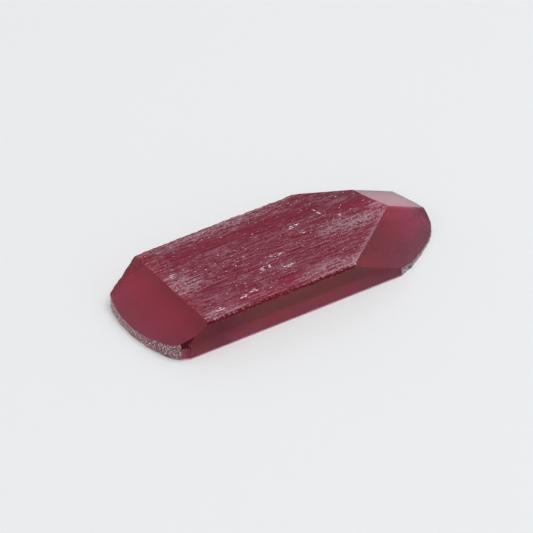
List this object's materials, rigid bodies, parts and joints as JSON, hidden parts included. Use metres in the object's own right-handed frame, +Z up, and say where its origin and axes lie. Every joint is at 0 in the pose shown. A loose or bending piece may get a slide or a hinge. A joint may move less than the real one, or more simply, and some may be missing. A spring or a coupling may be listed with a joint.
{
  "type": "rough red beryl crystal",
  "caption": "Flat elongated half crystal of see-through red beryl with a ridged growth top, a sawn front, smooth sloping end planes and rough rounded ends, lying on its flat base.",
  "frame": {"origin": "middle of the flat base that the stone lies on", "axes": "+X along the stone to the end with the three smooth planes, +Y to the back wall away from the sawn front, +Z up from the base to the ridged top"},
  "size_m": [0.0451, 0.0177, 0.0045],
  "materials": {
    "beryl": "clear deep red beryl: smooth end planes and sawn front, rough silky growth ridges on top, grey powdery skin round the ends"
  },
  "bodies": {
    "root": {"crystal": "beryl"}
  },
  "joints": []
}
